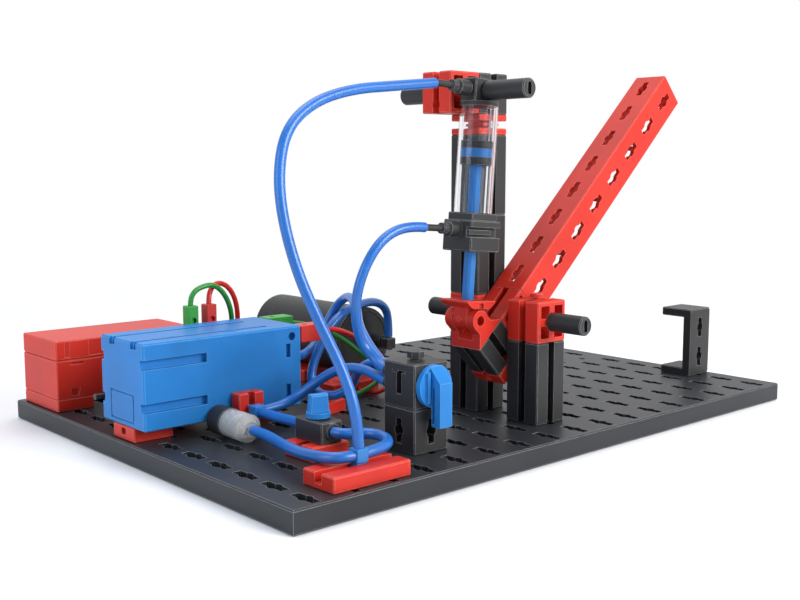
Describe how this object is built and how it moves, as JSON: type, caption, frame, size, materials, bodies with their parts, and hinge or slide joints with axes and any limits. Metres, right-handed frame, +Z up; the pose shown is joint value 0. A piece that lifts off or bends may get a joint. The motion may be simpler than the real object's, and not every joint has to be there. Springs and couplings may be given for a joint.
{
  "type": "pneumatic lifting arm kit",
  "caption": "Slotted base plate with block towers, a lifting arm driven by a hanging double-acting cylinder, a pump, an air tank, valves, a battery box, hoses and wires.",
  "frame": {"origin": "centre of the base plate's underside, which is the face the kit rests on", "axes": "+Z up, +X along the plate's long side towards the travel bracket, +Y along the short side towards the battery box"},
  "size_m": [0.259, 0.187, 0.1379],
  "materials": {
    "plate_black": "satin moulded",
    "block_black": "satin moulded",
    "part_red": "satin gloss moulded",
    "part_blue": "satin moulded",
    "clear_barrel": "clear moulded",
    "frosted_body": "translucent moulded",
    "plug_green": "satin moulded",
    "plug_red": "satin moulded",
    "piston_blue": "satin moulded",
    "hose_fitting": "satin moulded",
    "steel": "ground",
    "hose_blue": "glossy soft hose",
    "wire_green": "insulated wire",
    "wire_red": "insulated wire"
  },
  "bodies": {
    "base": {"base_plate": "plate_black", "tower_front_block": "block_black", "tower_front_bearing": "part_red", "tower_rear_blocks": "block_black", "tower_rear_bearing": "part_red", "tower_rear_top_block": "block_black", "tower_spacer": "part_red", "top_bearing": "part_red", "axles": "steel", "axle_sleeves": "block_black", "stop_bracket": "block_black", "plate_front": "part_red", "plate_throttle": "part_red", "throttle_body": "block_black", "valve_base": "block_black", "valve_body": "block_black", "compressor_housing": "part_blue", "foot_plates": "part_red", "compressor_motor": "steel", "tank_shell": "block_black", "tank_end": "block_black", "tank_fitting": "block_black", "battery_case": "part_red", "check_cap": "block_black", "check_body": "frosted_body", "groove_block": "part_red", "tee_front": "hose_fitting", "tee_rear": "hose_fitting", "plugs_green": "plug_green", "plugs_red": "plug_red", "switch_body": "part_red", "rear_socket": "block_black", "hose_check_to_tee": "hose_blue", "hose_lift_top": "hose_blue", "hose_tee_throttle": "hose_blue", "hose_throttle_tee": "hose_blue", "hose_tee_valve": "hose_blue", "hose_lift_low": "hose_blue", "hose_tank_valve": "hose_blue", "hose_pump_valve": "hose_blue", "wire_green_battery": "wire_green", "wire_red_battery": "wire_red", "wire_red_switch": "wire_red", "wire_green_switch": "wire_green"},
    "cylinder": {"cylinder_top_cap": "block_black", "cylinder_barrel": "clear_barrel", "cylinder_bottom_cap": "block_black"},
    "rod": {"piston": "block_black", "piston_ring": "piston_blue", "piston_rod": "piston_blue", "rod_eye": "part_red"},
    "arm": {"arm_hub": "part_red", "arm_block": "block_black", "arm_cap": "part_red", "arm_clevis": "part_red", "arm_girder": "part_red"},
    "valve_handle": {"valve_knob": "part_blue"},
    "throttle_handle": {"throttle_knob": "part_blue"},
    "lid": {"battery_lid": "part_red"},
    "crank": {"pump_crank": "steel"}
  },
  "joints": [
    {"name": "arm_lift", "type": "hinge", "parent": "base", "child": "arm", "pos_m": [0, -0.0525, 0.045], "axis": [0, -1, 0], "range_deg": [-30, 20]},
    {"name": "cylinder_swing", "type": "hinge", "parent": "base", "child": "cylinder", "pos_m": [-0.015, -0.0525, 0.1275], "axis": [0, 1, 0], "range_deg": [-1, 1]},
    {"name": "rod_slide", "type": "slide", "parent": "cylinder", "child": "rod", "axis": [-0.0755, 0, -0.9971], "range_m": [-0.012, 0.009]},
    {"name": "valve_turn", "type": "hinge", "parent": "base", "child": "valve_handle", "pos_m": [-0.06, -0.075, 0.0299], "axis": [0, 1, 0], "range_deg": [-45, 45]},
    {"name": "throttle_turn", "type": "hinge", "parent": "base", "child": "throttle_handle", "pos_m": [-0.0891, -0.0523, 0.0201], "axis": [0, 0, 1], "range_deg": [-90, 90]},
    {"name": "lid_lift", "type": "slide", "parent": "base", "child": "lid", "axis": [0, 0, 1], "range_m": [0, 0.03]},
    {"name": "crank_spin", "type": "hinge", "parent": "base", "child": "crank", "pos_m": [-0.1075, 0.0075, 0.0275], "axis": [1, 0, 0], "continuous": true}
  ],
  "couplings": [
    {"joint": "cylinder_swing", "follows": "arm_lift", "ratio": 0.0171},
    {"joint": "rod_slide", "follows": "arm_lift", "m_per_rad": 0.02062}
  ]
}
